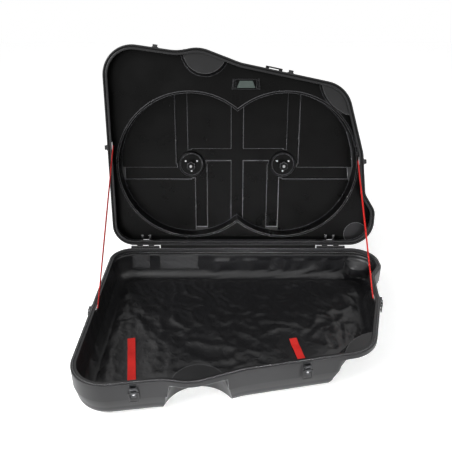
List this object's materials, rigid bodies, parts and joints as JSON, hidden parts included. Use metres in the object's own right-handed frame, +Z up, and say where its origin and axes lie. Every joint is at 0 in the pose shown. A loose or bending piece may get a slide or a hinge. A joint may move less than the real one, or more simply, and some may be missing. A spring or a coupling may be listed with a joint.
{
  "type": "bike travel case",
  "caption": "Hard clamshell case for a dismantled bicycle, open on its hinge, with a fabric-lined tray, a lid with round wheel wells, draw latches, stay straps and trolley wheels.",
  "frame": {"origin": "middle of the base's flat underside, on the floor, midway along the length and the width of the rim", "axes": "+Z up, +X along the hinge line to the right as seen from the open front, +Y towards the hinge"},
  "size_m": [1.2206, 1.182, 1.028],
  "materials": {
    "shell": "satin moulded black",
    "inner_moulding": "fine-grained black",
    "grey_bar": "satin grey",
    "seal": "matte",
    "lining": "woven black",
    "pocket_fabric": "woven dark grey",
    "red_webbing": "woven red",
    "steel": "satin",
    "hinge_black": "satin black",
    "bright_metal": "polished",
    "latch_metal": "satin dark grey",
    "tyre": "matte",
    "wheel_hub": "satin dark grey"
  },
  "bodies": {
    "base": {"base_shell": "shell", "base_liner": "lining", "back_pocket_small": "pocket_fabric", "back_pocket_large": "pocket_fabric", "hinge_base_leaf_left": "hinge_black", "hinge_base_leaf_right": "hinge_black", "hinge_pins": "steel", "hinge_screws_base": "steel", "latch_pins": "steel", "stay_anchors_base": "steel", "lid_stay_left": "red_webbing", "lid_stay_right": "red_webbing", "tie_strap_left": "red_webbing", "tie_strap_right": "red_webbing", "base_wheel_axle": "steel", "base_skids": "seal", "latch_plate_front_left": "latch_metal", "latch_plate_front_right": "latch_metal", "latch_plate_left": "latch_metal", "latch_plate_right": "latch_metal"},
    "lid": {"lid_shell": "shell", "lid_seal": "seal", "wheel_well_moulding": "inner_moulding", "well_floor_panel": "inner_moulding", "hub_mount_left": "inner_moulding", "hub_mount_right": "inner_moulding", "hub_studs": "steel", "hub_mount_screws": "bright_metal", "grip_plate": "inner_moulding", "grip_plate_posts": "inner_moulding", "grip_plate_bar": "grey_bar", "hinge_lid_leaf_left": "hinge_black", "hinge_lid_leaf_right": "hinge_black", "hinge_screws_lid": "steel", "hinge_backing_left": "inner_moulding", "hinge_backing_right": "inner_moulding", "hinge_backing_screws": "bright_metal", "stay_anchors_lid": "steel", "lid_wheel_axle": "steel", "lid_skids": "seal", "hinge_posts": "bright_metal", "hinge_bars": "bright_metal", "carry_handle": "inner_moulding", "hinge_cover_strip": "seal", "latch_keeper_front_left": "hinge_black", "latch_keeper_front_right": "hinge_black", "latch_keeper_left": "hinge_black", "latch_keeper_right": "hinge_black"},
    "lever_front_left": {"latch_lever_front_left": "latch_metal"},
    "bail_front_left": {"latch_bail_front_left": "hinge_black"},
    "lever_front_right": {"latch_lever_front_right": "latch_metal"},
    "bail_front_right": {"latch_bail_front_right": "hinge_black"},
    "lever_left": {"latch_lever_left": "latch_metal"},
    "bail_left": {"latch_bail_left": "hinge_black"},
    "lever_right": {"latch_lever_right": "latch_metal"},
    "bail_right": {"latch_bail_right": "hinge_black"},
    "hub_knob_left": {"hub_knob_left": "inner_moulding"},
    "hub_knob_right": {"hub_knob_right": "inner_moulding"},
    "base_wheel": {"base_wheel_tyre": "tyre", "base_wheel_hub": "wheel_hub"},
    "lid_wheel": {"lid_wheel_tyre": "tyre", "lid_wheel_hub": "wheel_hub"}
  },
  "joints": [
    {"name": "lid_hinge", "type": "hinge", "parent": "base", "child": "lid", "pos_m": [0, 0.4615, 0.1452], "axis": [1, 0, 0], "range_deg": [0, 99.5], "deforming": ["lid_stay_left", "lid_stay_right"]},
    {"name": "lever_front_left_swing", "type": "hinge", "parent": "base", "child": "lever_front_left", "pos_m": [-0.37476, -0.42963, 0.131], "axis": [0.9903, 0.1393, 0], "range_deg": [-105, 0]},
    {"name": "bail_front_left_swing", "type": "hinge", "parent": "lever_front_left", "child": "bail_front_left", "pos_m": [-0.37427, -0.43309, 0.118], "axis": [-0.9903, -0.1393, 0], "range_deg": [0, 165]},
    {"name": "lever_front_right_swing", "type": "hinge", "parent": "base", "child": "lever_front_right", "pos_m": [0.19577, -0.3262, 0.131], "axis": [0.9798, 0.2002, 0], "range_deg": [-105, 0]},
    {"name": "bail_front_right_swing", "type": "hinge", "parent": "lever_front_right", "child": "bail_front_right", "pos_m": [0.19647, -0.32963, 0.118], "axis": [-0.9798, -0.2002, 0], "range_deg": [0, 165]},
    {"name": "lever_left_swing", "type": "hinge", "parent": "base", "child": "lever_left", "pos_m": [-0.611, -0.00253, 0.131], "axis": [0, -1, 0], "range_deg": [-105, 0]},
    {"name": "bail_left_swing", "type": "hinge", "parent": "lever_left", "child": "bail_left", "pos_m": [-0.6145, -0.00253, 0.118], "axis": [0, 1, 0], "range_deg": [0, 165]},
    {"name": "lever_right_swing", "type": "hinge", "parent": "base", "child": "lever_right", "pos_m": [0.54166, 0.05943, 0.131], "axis": [0.1234, 0.9924, 0], "range_deg": [-105, 0]},
    {"name": "bail_right_swing", "type": "hinge", "parent": "lever_right", "child": "bail_right", "pos_m": [0.54513, 0.059, 0.118], "axis": [-0.1234, -0.9924, 0], "range_deg": [0, 165]},
    {"name": "hub_knob_left_turn", "type": "hinge", "parent": "lid", "child": "hub_knob_left", "pos_m": [-0.2408, 0.58819, 0.49511], "axis": [0, 0.9863, -0.165], "continuous": true},
    {"name": "hub_knob_right_turn", "type": "hinge", "parent": "lid", "child": "hub_knob_right", "pos_m": [0.18602, 0.58819, 0.49511], "axis": [0, 0.9863, -0.165], "continuous": true},
    {"name": "base_wheel_spin", "type": "hinge", "parent": "base", "child": "base_wheel", "pos_m": [0.534, 0.4165, 0.05], "axis": [0, 0, 1], "continuous": true},
    {"name": "lid_wheel_spin", "type": "hinge", "parent": "lid", "child": "lid_wheel", "pos_m": [0.534, 0.56282, 0.17387], "axis": [0, 0.9863, -0.165], "continuous": true}
  ]
}
